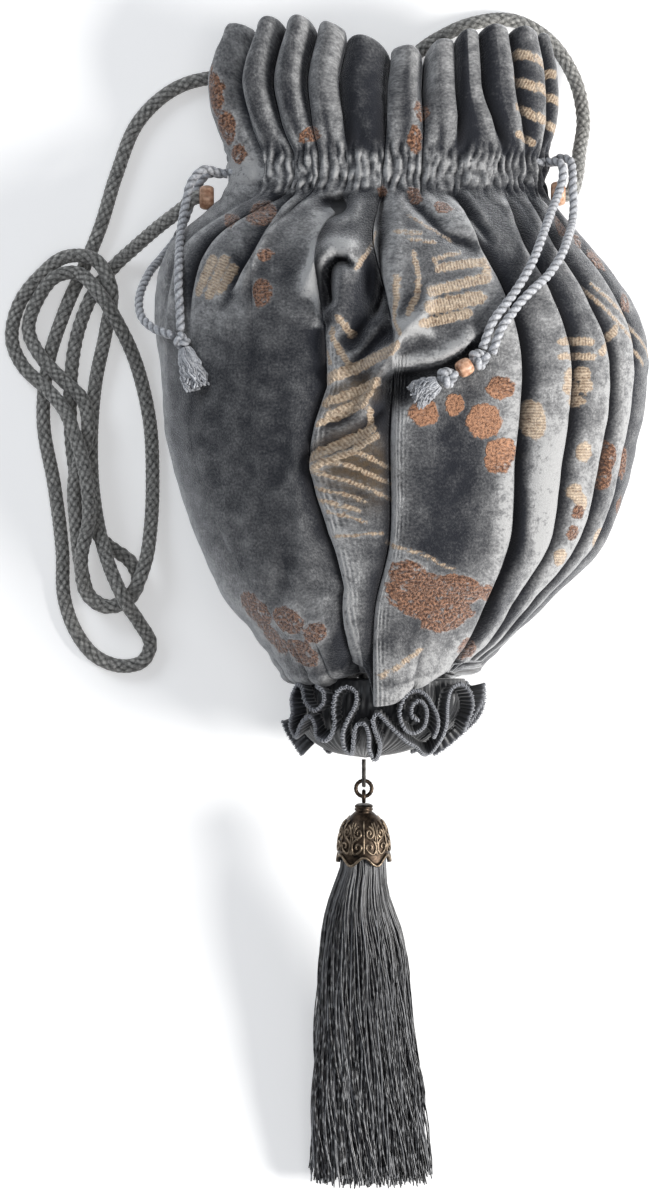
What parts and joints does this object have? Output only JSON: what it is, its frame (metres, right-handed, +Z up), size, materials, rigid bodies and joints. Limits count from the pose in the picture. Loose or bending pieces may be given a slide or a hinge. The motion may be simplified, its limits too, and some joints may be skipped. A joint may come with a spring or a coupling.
{
  "type": "drawstring handbag",
  "caption": "Gathered velvet drawstring evening bag with a puffed frill, ruched rosette under its base, hanging tassel and braided carry cord, lying on its back.",
  "frame": {"origin": "middle of the flat spot on the bag's back, where it rests on the table", "axes": "+Z up from the table, +Y along the bag towards its frill and mouth, +X to the right seen from above"},
  "size_m": [0.2189, 0.4053, 0.107],
  "materials": {
    "velvet": "crushed velvet with a printed and woven metallic pattern",
    "satin": "dull satin",
    "ribbon": "satin ribbon",
    "braid": "braided cord",
    "cord": "twisted rayon cord",
    "copper_bead": "satin copper",
    "bronze": "antique bronze",
    "threads": "silky threads"
  },
  "bodies": {
    "bag": {"velvet_shell": "velvet", "lining": "satin", "drawstring_left_run": "cord", "drawstring_right_run": "cord", "drawstring_left_front": "cord", "drawstring_left_back": "cord", "drawstring_right_front": "cord", "drawstring_right_back": "cord", "carry_cord": "braid", "side_bead_left": "copper_bead", "side_bead_right": "copper_bead", "left_knot": "cord", "left_fray": "cord", "right_upper_knot": "cord", "drop_bead": "copper_bead", "right_lower_knot": "cord", "right_fray": "cord", "rosette_pad": "satin", "ruffle_ribbon": "ribbon", "ribbon_curl": "ribbon", "anchor_loop": "threads"},
    "link": {"jump_ring": "bronze"},
    "tassel": {"cap_loop": "bronze", "tassel_cap": "bronze", "tassel_skirt": "threads"}
  },
  "joints": [
    {"name": "tassel_lift", "type": "hinge", "parent": "bag", "child": "link", "pos_m": [-0.0068, -0.1228, 0.036], "axis": [-1, 0, 0], "range_deg": [-60, 70]},
    {"name": "tassel_swing", "type": "hinge", "parent": "link", "child": "tassel", "pos_m": [-0.0068, -0.1255, 0.036], "axis": [0, 0, 1], "range_deg": [-65, 65]}
  ]
}
